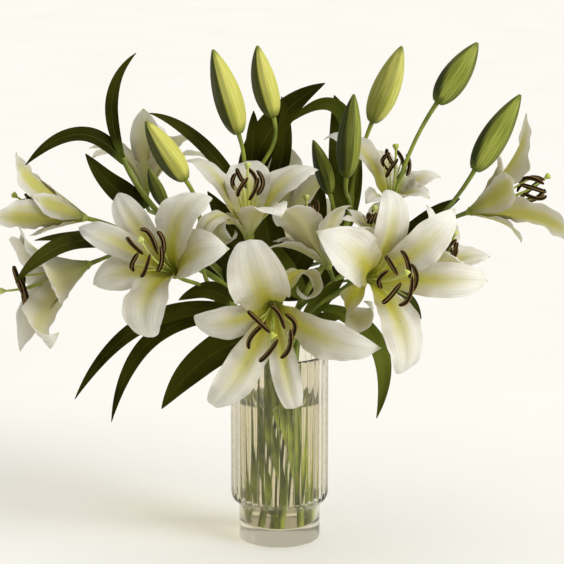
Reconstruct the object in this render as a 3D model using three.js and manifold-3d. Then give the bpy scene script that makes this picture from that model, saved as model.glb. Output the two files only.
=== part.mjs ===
// White lilies in a ribbed glass vase. Millimetres, +Z up.
// The origin is the centre of the vase's foot, on the surface that it stands on, and -Y is the front.
import * as THREE from 'three';
import { mergeVertices } from 'three/addons/utils/BufferGeometryUtils.js';
import Module from 'manifold-3d';

const wasm = await Module();
wasm.setup();

// Vase: a ribbed cylinder on a plain, narrower foot of thick glass
const VASE_HEIGHT = 194;
const RIBS = 40;
const RIB_RADIUS = 49.4;
const GROOVE_RADIUS = 48;
const BODY_BORE = 44.6;
const BODY_BOTTOM = 45;
const FOOT_RADIUS = 41;
const FOOT_BORE = 36.5;
const FOOT_TOP = 36;
const FOOT_EDGE = 3.5;
const FLOOR = 17;
const SHOULDER_STEP = 2;
const SHOULDER_INSET = 0.6;
const BORE_SLOPE_START = 38;
const BORE_SLOPE_END = 48;
const VASE_SEGMENTS = 36;

// Water, and the gap that two pieces keep where they touch
const WATER_LEVEL = 146;
const WATER_SEGMENTS = 24;
const GAP = 0.35;
const SLOPE_GAP = 0.2;
const HOLE_OVERRUN = 2;

// The finest step that is kept where the pieces of one body meet
const JOIN_TOLERANCE = 0.2;

// Stems cross the vase as the straight lines of one spiral, so that no two of them meet
const STEM_RADIUS = 3.5;
const STEM_TAPER = 0.16;
const STEM_SIDES = 6;
const CUT_END_RISE = 0.75;
const NECK_RADIUS = 2.5;
const STALK_RADIUS = 2;
const STALK_SIDES = 4;
const STALK_END = 4;
const STEM_STEPS = 4;
const STALK_STEPS = 3;
const CURVE_REACH = 0.4;
const WAIST_RADIUS = 14;
const WAIST_LEVEL = 150;
const STEM_LEAN = 0.215;
const FIRST_STEM_ANGLE = -132;

// Blooms: the widths are for tepals of the usual length, and the spread is for a bloom that is fully open
const BLOOM_LENGTH = 108;
const FULLY_OPEN = 74;
const TEPALS = 6;
const TEPAL_ANGLE = 360 / TEPALS;
const INNER_HALF_WIDTH = 21;
const OUTER_HALF_WIDTH = 15.5;
const TEPAL_THICKNESS = 1;
const TEPAL_STEP = 27;
const CURLED_STEP = 13;
const STRONG_CURL = 200;
const LEAST_STEPS = 3;
const ROLL_START = 0.1;
const ROLL_END = 0.5;
const INNER_START_LEAN = 20;
const OUTER_START_LEAN = 25;
const TEPAL_ROOT = 2;
const INNER_ROOT_HEIGHT = 1.8;
const OUTER_ROOT_HEIGHT = 1.2;
const MOST_CUP = 0.6;
const TIP_FLATTENING = 0.18;
const LEAST_HALF_WIDTH = 0.9;
const RECEPTACLE_LENGTH = 5;
const RECEPTACLE_RADIUS = 5.2;
const RECEPTACLE_SIDES = 8;
const STAMEN_ROOT_LENGTH = 5;
const STAMEN_ROOT_RADII = [1.6, 3.2];
const STAMEN_ROOT_SIDES = 6;
const FILAMENT_START = 3;
const FILAMENT_OFFSET = 1.5;
const FILAMENT_LENGTH = 64;
const FILAMENT_SPREAD = 19;
const FILAMENT_RADIUS = 0.6;
const ANTHER_LENGTH = 25;
const ANTHER_RADIUS = 2.6;
const ANTHER_LIE = [0, 0, 0.9];
const ANTHER_ACROSS = 0.6;
const ANTHER_OUTWARD = 0.2;
const PISTIL_LENGTH = 80;
const PISTIL_RADII = [1.2, 1.1, 1.3, 3];
const PISTIL_BEND = 0.6;
const PISTIL_OFFSETS = [0, -2, 5, 6];
const PISTIL_SIDES = 4;
const STIGMA_LENGTH = 4;

// Buds
const BUD_STEPS = 5;
const BUD_SIDES = 6;

// Leaves
const LEAF_THICKNESS = 0.9;
const LEAF_FOLD = 0.3;
const LEAF_STEPS = 4;
const NARROW_LEAF = 9;
const LEAF_FACE = [0, -0.8, 0.6];

// Each stem: its head, and for each leaf how far up the stem it starts, the point that it bends towards,
// its tip, half its width, and the way that it faces.
const STEMS = [
  {
    name: 'stem_front', head: [-6, -40, 250], toward: [0, -1, 0.3],
    leaves: [{ on: 0.3, bend: [-70, -46, 222], tip: [-117, -42, 146], half: 16 }],
  },
  {
    name: 'stem_right', head: [70, -26, 268], toward: [0.8, -0.4, 0.6],
    leaves: [
      { on: 0.6, bend: [126, -22, 226], tip: [97, -30, 133], half: 9 },
      { on: 0.4, bend: [40, -20, 250], tip: [64, -14, 272], half: 8 },
      { on: 0.2, bend: [30, -14, 230], tip: [62, -30, 236], half: 9 },
    ],
  },
  {
    name: 'stem_far_right', head: [130, 42, 298], toward: [1, 0, 0.4],
    leaves: [{ on: 0.9, bend: [150, 56, 322], tip: [184, 60, 340], half: 8 }],
  },
  {
    name: 'stem_back_right', head: [92, 70, 296], toward: [0.5, 0.3, 1],
    leaves: [
      { on: 0.6, bend: [120, 90, 260], tip: [150, 120, 200], half: 12, face: [0.5, 0.6, 0.6] },
    ],
  },
  {
    name: 'stem_middle', head: [74, 66, 346], toward: [0, 0.2, 1],
    leaves: [
      { on: 0.75, bend: [74, 94, 384], tip: [56, 90, 442], half: 16 },
      { on: 0.95, bend: [84, 84, 480], tip: [6, 80, 412], half: 8 },
      { on: 0.3, bend: [2, 26, 270], tip: [-6, 22, 304], half: 11 },
    ],
  },
  {
    name: 'stem_back', head: [6, 80, 292], toward: [0, 1, 0.6],
    leaves: [
      { on: 0.6, bend: [-40, 90, 260], tip: [-80, 110, 190], half: 12, face: [0, 0.8, 0.6] },
      { on: 0.6, bend: [50, 90, 276], tip: [104, 128, 262], half: 11, face: [0.3, 0.6, 0.8] },
      { on: 0.5, bend: [-14, 62, 300], tip: [-24, 84, 368], half: 16 },
      { on: 0.55, bend: [34, 58, 290], tip: [44, 84, 350], half: 15 },
      { on: 0.5, bend: [-56, 66, 264], tip: [-118, 62, 288], half: 15 },
      { on: 0.5, bend: [-46, 72, 296], tip: [-74, 80, 344], half: 13 },
      { on: 0.4, bend: [30, 56, 252], tip: [70, 62, 268], half: 13 },
    ],
  },
  {
    name: 'stem_top', head: [-34, 44, 352], toward: [-0.1, 0, 1],
    leaves: [
      { on: 0.95, bend: [-26, 56, 420], tip: [46, 60, 458], half: 15 },
      { on: 0.85, bend: [-26, 50, 396], tip: [-26, 44, 432], half: 8 },
      { on: 0.9, bend: [-76, 40, 416], tip: [-130, 34, 431], half: 7 },
      { on: 0.75, bend: [16, 60, 380], tip: [2, 48, 446], half: 9 },
    ],
  },
  {
    name: 'stem_back_left', head: [-158, 46, 384], toward: [-0.4, 0, 1],
    leaves: [
      { on: 1, bend: [-184, 36, 452], tip: [-142, 26, 492], half: 6 },
      { on: 0.97, bend: [-196, 36, 440], tip: [-254, 24, 380], half: 8 },
      { on: 0.8, bend: [-160, 40, 336], tip: [-196, 48, 388], half: 12 },
    ],
  },
  {
    name: 'stem_far_left', head: [-140, 14, 296], toward: [-1, 0, 0.2],
    leaves: [
      { on: 0.95, bend: [-205, -52, 342], tip: [-253, -90, 284], half: 10 },
      { on: 0.85, bend: [-176, -12, 322], tip: [-238, -52, 318], half: 7 },
      { on: 0.4, bend: [-40, 8, 274], tip: [-62, 10, 312], half: 11 },
    ],
  },
  {
    name: 'stem_left', head: [-74, -18, 264], toward: [-0.8, -0.1, 0.6],
    leaves: [
      { on: 0.6, bend: [-146, -8, 256], tip: [-205, -20, 150], half: 8.5 },
      { on: 0.5, bend: [-146, 0, 244], tip: [-170, -4, 122], half: 8.5 },
      { on: 0.7, bend: [-64, -30, 274], tip: [-100, -22, 252], half: 9 },
    ],
  },
];

// Each bloom: its stem and where its stalk leaves it, its base, the way that it faces (azimuth, elevation),
// the length of its tepals, and how far they open and curl back. Its anthers may lie in a direction of their
// own. Each tepal has its turn about the bloom. Its length and width are shares of the usual ones. It may
// open, curl, twist and sweep sideways in a way of its own.
const BLOOMS = [
  {
    name: 'front', stem: 'stem_front', from: 1, at: [-6, -58, 260], face: [-90, -12],
    long: 124, open: 74, curl: 40,
    tepals: [
      { turn: 106, long: 1.13, curl: 150, wide: 1.05 },
      { turn: 62, long: 0.9, wide: 0.7, ease: 0.4, curl: 350, power: 1.7, twist: -90 },
      { turn: -8, long: 1.14, wide: 0.8, sweep: -0.06 },
      { turn: -76, long: 1.12, wide: 0.76, curl: 110 },
      { turn: -124, long: 1.21, wide: 0.7, curl: 90, sweep: -0.04 },
      { turn: 183, long: 0.86, wide: 0.95, curl: 95 },
    ],
  },
  {
    name: 'left', stem: 'stem_left', from: 1, at: [-100, -46, 282], face: [-117, 30],
    long: 110, open: 74, curl: 50,
    tepals: [
      { turn: 70, long: 1.1, curl: 130, sweep: -0.1 },
      { turn: 135, long: 1.05 },
      { turn: 167, long: 1.12, wide: 0.6 },
      { turn: 204, long: 0.86, wide: 1.2 },
      { turn: 281, long: 1.13, curl: 150 },
      { turn: 18, long: 0.85, wide: 1.5 },
    ],
  },
  {
    name: 'right', stem: 'stem_right', from: 1, at: [84, -54, 281], face: [-66, 10],
    long: 118, open: 72, curl: 45,
    tepals: [
      { turn: 146, long: 1.06 },
      { turn: 84, long: 1.04, curl: 110 },
      { turn: 40, long: 1.08, wide: 0.78 },
      { turn: -6, long: 1.22, curl: 85 },
      { turn: -82, long: 1.15, wide: 0.8, curl: 105, sweep: -0.07 },
      { turn: -142, long: 0.82, ease: 0.4, curl: 330, power: 1.5, twist: 90 },
    ],
  },
  {
    name: 'top', stem: 'stem_top', from: 0.5, at: [-31, -20, 311], face: [-90, 76],
    long: 104, open: 60, curl: 45,
    tepals: [
      { turn: 90, long: 0.95 },
      { turn: 135, long: 1.18, wide: 0.8, curl: 60 },
      { turn: 150, long: 0.82, wide: 0.6, curl: 310, power: 1.5 },
      { turn: 222, long: 1, wide: 0.8, curl: 230, power: 3 },
      { turn: 300, long: 0.9 },
      { turn: 36, long: 1.08, wide: 1.3 },
    ],
  },
  {
    name: 'far_left', stem: 'stem_far_left', from: 1, at: [-187, -4, 286], face: [-162, -18],
    long: 124, open: 60, curl: 40,
    tepals: [
      { turn: 100, long: 0.7, wide: 1.2, curl: 20 },
      { turn: 150, long: 0.8, wide: 1.6, open: 50, curl: 20 },
      { turn: 205, long: 0.8 },
      { turn: 248, long: 0.98, wide: 1.5, open: 2, curl: 70 },
      { turn: -56, long: 1.02, wide: 0.9, open: 26, curl: 190, twist: 35 },
      { turn: 10, long: 0.72, wide: 1.3, open: 50 },
    ],
  },
  {
    name: 'opening', stem: 'stem_far_left', from: 0.8, at: [-194, 44, 322], face: [175, 12],
    long: 104, open: 32, curl: 10,
    tepals: [
      { turn: 70, long: 0.98, wide: 0.8, open: 12, curl: 60 },
      { turn: 125, long: 0.75, open: 0 },
      { turn: 196, long: 0.85, wide: 0.8, open: 0 },
      { turn: 262, long: 0.6, open: 4 },
      { turn: -26, long: 0.95, wide: 0.85, open: -8 },
      { turn: 30, long: 0.6, wide: 0.8, open: -6 },
    ],
  },
  {
    name: 'back_left', stem: 'stem_back_left', from: 0.7, at: [-137, 86, 340], face: [90, 68],
    long: 98, open: 58, curl: 50,
    tepals: [
      { turn: 5, long: 0.85 },
      { turn: 88, long: 0.98, wide: 1.1, open: 8 },
      { turn: 150, long: 0.95 },
      { turn: 210, long: 0.95 },
      { turn: 265, long: 1.15, wide: 0.8, open: 14, curl: 60 },
      { turn: 325, long: 1, wide: 1.5 },
    ],
  },
  {
    name: 'back_right', stem: 'stem_back_right', from: 1, at: [112, 52, 328], face: [-75, 70],
    long: 94, open: 62, curl: 60,
    tepals: [
      { turn: 137, long: 1.24, wide: 0.85, curl: 75 },
      { turn: 88, long: 0.85, wide: 0.9 },
      { turn: 48, long: 0.6, wide: 0.8 },
      { turn: 8, long: 0.75, wide: 0.9 },
      { turn: -42, long: 0.6, wide: 0.8 },
      { turn: 215, long: 0.6 },
    ],
  },
  {
    name: 'far_right', stem: 'stem_far_right', from: 1, at: [188, 32, 330], face: [8, 19],
    long: 120, open: 44, curl: 30, lie: [0.9, 0, 0.1],
    tepals: [
      { turn: 78, wide: 1.2, open: 34, curl: 25 },
      { turn: 150, long: 0.62 },
      { turn: 222, long: 1.04, wide: 0.9 },
      { turn: 282, long: 0.6 },
      { turn: -30, long: 0.7 },
      { turn: 25, long: 0.8 },
    ],
  },
  {
    name: 'low_right', stem: 'stem_far_right', from: 0.6, at: [144, 0, 272], face: [-20, 48],
    long: 72, open: 42, curl: 30,
    tepals: [
      { turn: 78 },
      { turn: 138, long: 0.7 },
      { turn: 198 },
      { turn: 258 },
      { turn: 318 },
      { turn: 18 },
    ],
  },
  {
    name: 'middle', stem: 'stem_middle', from: 0.2, at: [50, -10, 280], face: [150, 64],
    long: 100, open: 54, curl: 45,
    tepals: [
      { turn: 14, long: 1.08, curl: 30 },
      { turn: 70, long: 0.9 },
      { turn: 130, long: 0.5 },
      { turn: 200, long: 0.6 },
      { turn: 262, long: 0.75, curl: 30 },
      { turn: 318, long: 0.75 },
    ],
  },
  {
    name: 'behind', stem: 'stem_middle', from: 0.6, at: [95, 2, 303], face: [-120, 78],
    long: 48, open: 42, curl: 40, turn: 100,
  },
  {
    name: 'back', stem: 'stem_back', from: 1, at: [2, 96, 302], face: [88, 30],
    long: 100, open: 70, curl: 50, turn: 90,
  },
];

// Each bud: its stem, where its stalk leaves it, its base, its tip, and its widest radius.
const BUDS = [
  { name: 'bud_1', stem: 'stem_top', from: 1, at: [-41, 30, 411], tip: [-66, 30, 495], radius: 14 },
  { name: 'bud_2', stem: 'stem_top', from: 0.95, at: [-6, 36, 427], tip: [-22, 38, 498], radius: 12.5 },
  { name: 'bud_3', stem: 'stem_middle', from: 1, at: [94, 66, 418], tip: [123, 62, 495], radius: 14 },
  { name: 'bud_4', stem: 'stem_right', from: 0.95, at: [153, -30, 450], tip: [191, -30, 508], radius: 13.5 },
  { name: 'bud_5', stem: 'stem_right', from: 0.85, at: [191, -25, 383], tip: [234, -25, 457], radius: 13.5 },
  { name: 'bud_6', stem: 'stem_left', from: 0.9, at: [-93, -5, 370], tip: [-131, -10, 429], radius: 13 },
  { name: 'bud_7', stem: 'stem_middle', from: 0.9, at: [67, 26, 368], tip: [74, 26, 451], radius: 12 },
  { name: 'bud_8', stem: 'stem_back_left', from: 0.55, at: [-114, 24, 338], tip: [-131, 24, 377], radius: 7 },
  { name: 'bud_9', stem: 'stem_middle', from: 0.6, at: [51, 54, 346], tip: [34, 54, 401], radius: 9 },
];

const radians = THREE.MathUtils.degToRad;
const vector = (x, y, z) => new THREE.Vector3(x, y, z);

// A closed mesh of points and triangles as a solid that can be joined and cut.
function solidOf(points, triangles) {
  const numbers = new Float32Array(points.flatMap((p) => [p.x, p.y, p.z]));
  return new wasm.Manifold(new wasm.Mesh({
    numProp: 3, vertProperties: numbers, triVerts: new Uint32Array(triangles),
  }));
}

// A lathe about +Z: the profile runs from the axis, up the outside and back to the axis.
function turned(profile, segments) {
  const outline = profile.map(([r, z]) => new THREE.Vector2(r, z));
  const lathe = new THREE.LatheGeometry(outline, segments).rotateX(Math.PI / 2);
  lathe.deleteAttribute('normal');
  lathe.deleteAttribute('uv');
  const merged = mergeVertices(lathe, 1e-3);
  const triangles = [];
  const index = merged.index.array;
  for (let i = 0; i < index.length; i += 3) {
    const [a, b, c] = [index[i], index[i + 1], index[i + 2]];
    if (a !== b && b !== c && c !== a) triangles.push(a, b, c);
  }
  return new wasm.Manifold(new wasm.Mesh({
    numProp: 3,
    vertProperties: new Float32Array(merged.attributes.position.array),
    triVerts: new Uint32Array(triangles),
  }));
}

// Pieces joined as one body. Steps finer than the tolerance, left where they meet, are smoothed away,
// and a hollow that the join seals, which has a negative volume, is filled. No piece may stay loose.
function joined(solids) {
  const whole = solids.reduce((sum, piece) => sum.add(piece)).simplify(JOIN_TOLERANCE);
  const [body, ...others] = whole.decompose().sort((a, b) => b.volume() - a.volume());
  if (others.some((other) => other.volume() > 0)) throw new Error('a piece misses the rest of its body');
  return body;
}

// A tube through the points, with a radius at each and flat ends.
function tube(points, radii, sides) {
  const rings = [];
  let across = null;
  points.forEach((point, i) => {
    const before = points[Math.max(i - 1, 0)];
    const after = points[Math.min(i + 1, points.length - 1)];
    const along = after.clone().sub(before).normalize();
    if (!across) {
      const hint = Math.abs(along.z) < 0.9 ? vector(0, 0, 1) : vector(1, 0, 0);
      across = hint.cross(along).normalize();
    }
    across.addScaledVector(along, -across.dot(along)).normalize();
    const other = along.clone().cross(across);
    for (let k = 0; k < sides; k += 1) {
      const a = (2 * Math.PI * k) / sides;
      rings.push(point.clone()
        .addScaledVector(across, radii[i] * Math.cos(a))
        .addScaledVector(other, radii[i] * Math.sin(a)));
    }
  });
  const triangles = [];
  for (let i = 0; i + 1 < points.length; i += 1) {
    for (let k = 0; k < sides; k += 1) {
      const a = i * sides + k;
      const b = i * sides + ((k + 1) % sides);
      triangles.push(a, b, b + sides, a, b + sides, a + sides);
    }
  }
  const last = (points.length - 1) * sides;
  for (let k = 1; k + 1 < sides; k += 1) {
    triangles.push(0, k + 1, k, last, last + k, last + k + 1);
  }
  return solidOf(rings, triangles);
}

// A thin closed blade: rows of points, each with the direction of its face, thickened both ways.
function blade(rows, thickness) {
  const across = rows[0].length;
  const points = [];
  for (const side of [0.5, -0.5]) {
    for (const row of rows) {
      for (const { at, out } of row) points.push(at.clone().addScaledVector(out, side * thickness));
    }
  }
  const half = rows.length * across;
  const triangles = [];
  const quad = (a, b, c, d) => triangles.push(a, b, c, a, c, d);
  for (let i = 0; i + 1 < rows.length; i += 1) {
    for (let j = 0; j + 1 < across; j += 1) {
      const a = i * across + j;
      const b = a + across;
      triangles.push(a, b, b + 1, a, b + 1, a + 1);
      triangles.push(half + a, half + b + 1, half + b, half + a, half + a + 1, half + b + 1);
    }
    const left = i * across;
    const right = left + across - 1;
    quad(left, half + left, half + left + across, left + across);
    quad(right, right + across, half + right + across, half + right);
  }
  const end = (rows.length - 1) * across;
  for (let j = 0; j + 1 < across; j += 1) {
    quad(j, j + 1, half + j + 1, half + j);
    quad(end + j, half + end + j, half + end + j + 1, end + j + 1);
  }
  return solidOf(points, triangles);
}

// Points on a cubic curve that leaves one point along one direction and arrives at another along a second.
function route(from, leaving, to, arriving, steps) {
  const reach = from.distanceTo(to) * CURVE_REACH;
  const curve = new THREE.CubicBezierCurve3(
    from, from.clone().addScaledVector(leaving, reach),
    to.clone().addScaledVector(arriving, -reach), to,
  );
  return curve.getPoints(steps);
}

// The directions of a bloom: outwards, and right and up as seen from its front.
function facing([azimuth, elevation]) {
  const level = Math.cos(radians(elevation));
  const out = vector(
    level * Math.cos(radians(azimuth)), level * Math.sin(radians(azimuth)), Math.sin(radians(elevation)),
  );
  const right = vector(0, 0, 1).cross(out).normalize();
  return { out, right, up: out.clone().cross(right) };
}

// Half the width of a tepal, as a share of its widest, at the share s of its length.
const tepalOutline = (s) => 9.6 * s ** 2 * (1 - s) ** 1.4 + 0.07 * (1 - s) ** 2;

// The middle surface of one tepal, as rows of points with the direction of their face. Along its length
// a tepal leans out as it opens, may twist about its own line, and curls back towards its tip.
function tepalRows(bloom, tepal, inner) {
  const { out, right, up } = facing(bloom.face);
  const { open, curl, wide, ease, power, twist, sweep } = {
    open: bloom.open, curl: bloom.curl, wide: 1, ease: 1.3, power: 5, twist: 0, sweep: 0, ...tepal,
  };
  const half = (inner ? INNER_HALF_WIDTH : OUTER_HALF_WIDTH) * (bloom.long / BLOOM_LENGTH) * wide;
  const angle = radians(tepal.turn);
  const radial = right.clone().multiplyScalar(Math.cos(angle)).addScaledVector(up, Math.sin(angle));
  const side = out.clone().cross(radial);
  const ahead = out.clone().applyAxisAngle(side, radians(inner ? INNER_START_LEAN : OUTER_START_LEAN));
  const face = ahead.clone().cross(side);
  const base = vector(...bloom.at);
  const at = base.clone().addScaledVector(radial, TEPAL_ROOT)
    .addScaledVector(out, inner ? INNER_ROOT_HEIGHT : OUTER_ROOT_HEIGHT);
  const lean = (s) => radians(open * s ** ease + curl * s ** power);
  const roll = (s) => radians(twist) * THREE.MathUtils.smoothstep(s, ROLL_START, ROLL_END);
  const length = bloom.long * (tepal.long ?? 1);
  const fine = 8;
  const step = curl > STRONG_CURL ? CURLED_STEP : TEPAL_STEP;
  const count = fine * Math.max(LEAST_STEPS, Math.round(length / step));
  const rows = [];
  for (let i = 0; i <= count; i += 1) {
    const s = i / count;
    if (i % fine === 0) {
      const middle = at.clone().addScaledVector(side, sweep * bloom.long * s ** 2);
      const r = middle.clone().sub(base).projectOnPlane(out).length();
      const width = Math.max(half * tepalOutline(s), LEAST_HALF_WIDTH);
      const cup = Math.min(MOST_CUP, width / (2 * r)) - TIP_FLATTENING * s;
      const lift = face.clone();
      rows.push([-1, 0, 1].map((v) => ({
        at: middle.clone().addScaledVector(side, width * v).addScaledVector(lift, width * cup * v * v),
        out: lift,
      })));
    }
    const following = s + 1 / count;
    at.addScaledVector(ahead, length / count);
    ahead.applyAxisAngle(side, lean(following) - lean(s));
    face.crossVectors(ahead, side);
    side.applyAxisAngle(ahead, roll(following) - roll(s));
    face.crossVectors(ahead, side);
  }
  return rows;
}

// The six tepals of a bloom on its receptacle, as one body. The wide inner ones and the outer ones alternate.
function bloomSolid(bloom) {
  const { out } = facing(bloom.face);
  const at = vector(...bloom.at);
  const top = at.clone().addScaledVector(out, RECEPTACLE_LENGTH);
  const pieces = [tube([at, top], [NECK_RADIUS, RECEPTACLE_RADIUS], RECEPTACLE_SIDES)];
  for (let k = 0; k < TEPALS; k += 1) {
    const tepal = bloom.tepals ? bloom.tepals[k] : { turn: bloom.turn + TEPAL_ANGLE * k };
    pieces.push(blade(tepalRows(bloom, tepal, k % 2 === 0), TEPAL_THICKNESS));
  }
  return joined(pieces);
}

// The six stamens and the pistil of a bloom, joined at their root.
function stamensSolid(bloom) {
  const { out, right, up } = facing(bloom.face);
  const size = bloom.long / BLOOM_LENGTH;
  const spread = (bloom.open / FULLY_OPEN) * FILAMENT_SPREAD * size;
  const root = RECEPTACLE_LENGTH + GAP;
  const place = (h, sideways, direction) => vector(...bloom.at)
    .addScaledVector(out, h).addScaledVector(direction, sideways);
  const pistil = PISTIL_LENGTH * size;
  const heights = [root + FILAMENT_START, pistil * PISTIL_BEND, pistil, pistil + STIGMA_LENGTH];
  const pieces = [
    tube(
      [place(root, 0, up), place(root + STAMEN_ROOT_LENGTH, 0, up)],
      STAMEN_ROOT_RADII, STAMEN_ROOT_SIDES,
    ),
    tube(heights.map((h, i) => place(h, PISTIL_OFFSETS[i], up)), PISTIL_RADII, PISTIL_SIDES),
  ];
  const first = (bloom.tepals ? bloom.tepals[0].turn : bloom.turn) + TEPAL_ANGLE / 2;
  for (let k = 0; k < TEPALS; k += 1) {
    const angle = radians(TEPAL_ANGLE * k + first);
    const radial = right.clone().multiplyScalar(Math.cos(angle)).addScaledVector(up, Math.sin(angle));
    const length = FILAMENT_LENGTH * size;
    const end = place(length, spread, radial);
    const start = place(root + FILAMENT_START, FILAMENT_OFFSET, radial);
    pieces.push(tube([start, end], [FILAMENT_RADIUS, FILAMENT_RADIUS], 3));
    const lie = out.clone().cross(radial).multiplyScalar(ANTHER_ACROSS)
      .add(vector(...(bloom.lie ?? ANTHER_LIE)))
      .addScaledVector(out, ANTHER_OUTWARD)
      .normalize();
    const reach = (ANTHER_LENGTH / 2) * size;
    pieces.push(tube(
      [end.clone().addScaledVector(lie, -reach), end.clone().addScaledVector(lie, reach)],
      [ANTHER_RADIUS, ANTHER_RADIUS], 3,
    ));
  }
  return joined(pieces);
}

// The radius of a bud, as a share of its widest, at the share s of its length.
const budOutline = (s) => 2.42 * (s + 0.03) ** 0.55 * (1.02 - s) ** 0.85;

// A closed bud: a six-sided spindle.
function budSolid({ at, tip, radius }) {
  const points = [];
  const radii = [];
  for (let i = 0; i <= BUD_STEPS; i += 1) {
    const s = i / BUD_STEPS;
    points.push(vector(...at).lerp(vector(...tip), s));
    radii.push(radius * budOutline(s));
  }
  return tube(points, radii, BUD_SIDES);
}

// The straight part of a stem, from its cut end near the floor of the vase up to a level.
function stemLine(index, level) {
  const angle = radians(FIRST_STEM_ANGLE) + (2 * Math.PI * index) / STEMS.length;
  const past = (level - WAIST_LEVEL) * STEM_LEAN;
  return vector(
    WAIST_RADIUS * Math.cos(angle) - past * Math.sin(angle),
    WAIST_RADIUS * Math.sin(angle) + past * Math.cos(angle),
    level,
  );
}

// Half the width of a leaf, as a share of its widest, at the share s of its length.
const leafOutline = (s) => 2.6 * s ** 0.6 * (1 - s) ** 0.8 + 0.15 * (1 - s);

// A leaf from a point on its stem, through its bend, to its tip. A narrow one is flat across.
function leafSolid(from, leaf) {
  const curve = new THREE.QuadraticBezierCurve3(from, vector(...leaf.bend), vector(...leaf.tip));
  const face = vector(...(leaf.face ?? LEAF_FACE));
  const across = leaf.half > NARROW_LEAF ? [-1, 0, 1] : [-1, 1];
  const rows = [];
  for (let i = 0; i <= LEAF_STEPS; i += 1) {
    const s = i / LEAF_STEPS;
    const along = curve.getTangent(s);
    const side = face.clone().cross(along).normalize();
    const out = along.clone().cross(side);
    const width = Math.max(leaf.half * leafOutline(s), LEAST_HALF_WIDTH);
    rows.push(across.map((v) => ({
      at: curve.getPoint(s).addScaledVector(side, width * v)
        .addScaledVector(out, width * LEAF_FOLD * Math.abs(v)),
      out,
    })));
  }
  return blade(rows, LEAF_THICKNESS);
}

// A stem with its leaves and the stalks of its blooms and buds, as one body.
function stemSolid(stem, index) {
  const foot = stemLine(index, FLOOR + GAP + CUT_END_RISE);
  const mouth = stemLine(index, VASE_HEIGHT);
  const leaving = mouth.clone().sub(foot).normalize();
  const head = vector(...stem.head);
  const toward = vector(...stem.toward).normalize();
  const free = new THREE.CatmullRomCurve3(route(mouth, leaving, head, toward, STEM_STEPS));
  const path = [foot, ...free.getPoints(STEM_STEPS)];
  const radii = path.map((_, i) => STEM_RADIUS - STEM_TAPER * Math.max(i - 1, 0));
  const pieces = [tube(path, radii, STEM_SIDES)];
  const ends = [
    ...BLOOMS.map((bloom) => ({ ...bloom, arriving: facing(bloom.face).out })),
    ...BUDS.map((bud) => ({ ...bud, arriving: vector(...bud.tip).sub(vector(...bud.at)).normalize() })),
  ];
  for (const { stem: name, from, at, arriving } of ends) {
    if (name !== stem.name) continue;
    const end = vector(...at).addScaledVector(arriving, -GAP);
    const start = free.getPoint(from);
    const parting = end.clone().sub(start).normalize().add(free.getTangent(from)).normalize();
    const before = end.clone().addScaledVector(arriving, -STALK_END);
    const stalk = [...route(start, parting, before, arriving, STALK_STEPS), end];
    const thickness = [NECK_RADIUS, STALK_RADIUS, STALK_RADIUS, STALK_RADIUS, NECK_RADIUS];
    pieces.push(tube(stalk, thickness, STALK_SIDES));
  }
  for (const leaf of stem.leaves) pieces.push(leafSolid(free.getPoint(leaf.on), leaf));
  return joined(pieces);
}

// The vase: ribs stand on the outside of the body, and the inside is plain.
function vaseSolid() {
  const outline = [];
  for (let k = 0; k < 2 * RIBS; k += 1) {
    const angle = (Math.PI * k) / RIBS;
    const radius = k % 2 ? GROOVE_RADIUS : RIB_RADIUS;
    outline.push([radius * Math.cos(angle), radius * Math.sin(angle)]);
  }
  const body = wasm.Manifold.extrude([outline], VASE_HEIGHT - BODY_BOTTOM).translate([0, 0, BODY_BOTTOM]);
  const shoulder = GROOVE_RADIUS - SHOULDER_INSET;
  const foot = turned([
    [0, 0], [FOOT_RADIUS - FOOT_EDGE, 0], [FOOT_RADIUS, FOOT_EDGE], [FOOT_RADIUS, FOOT_TOP],
    [shoulder, BODY_BOTTOM - SHOULDER_STEP], [shoulder, BODY_BOTTOM + SHOULDER_STEP],
    [0, BODY_BOTTOM + SHOULDER_STEP],
  ], VASE_SEGMENTS);
  const bore = turned([
    [0, FLOOR], [FOOT_BORE, FLOOR], [FOOT_BORE, BORE_SLOPE_START], [BODY_BORE, BORE_SLOPE_END],
    [BODY_BORE, VASE_HEIGHT + 1], [0, VASE_HEIGHT + 1],
  ], VASE_SEGMENTS);
  return body.add(foot).subtract(bore);
}

// The water fills the vase to its level, with a hole for each stem.
function waterSolid() {
  let water = turned([
    [0, FLOOR + GAP], [FOOT_BORE - GAP, FLOOR + GAP], [FOOT_BORE - GAP, BORE_SLOPE_START + SLOPE_GAP],
    [BODY_BORE - GAP, BORE_SLOPE_END + SLOPE_GAP], [BODY_BORE - GAP, WATER_LEVEL], [0, WATER_LEVEL],
  ], WATER_SEGMENTS);
  STEMS.forEach((_, index) => {
    const low = stemLine(index, FLOOR - HOLE_OVERRUN);
    const high = stemLine(index, WATER_LEVEL + 2 * HOLE_OVERRUN);
    water = water.subtract(tube([low, high], [STEM_RADIUS + GAP, STEM_RADIUS + GAP], STEM_SIDES));
  });
  return water;
}

const group = new THREE.Group();
group.name = 'lilies_in_a_vase';

function addMesh(name, solid, look) {
  const mesh = solid.getMesh();
  const geometry = new THREE.BufferGeometry();
  geometry.setAttribute('position', new THREE.BufferAttribute(mesh.vertProperties, 3));
  geometry.setIndex(new THREE.BufferAttribute(mesh.triVerts, 1));
  geometry.computeVertexNormals();
  const made = new THREE.Mesh(geometry, new THREE.MeshStandardMaterial(look));
  made.name = name;
  group.add(made);
}

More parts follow.
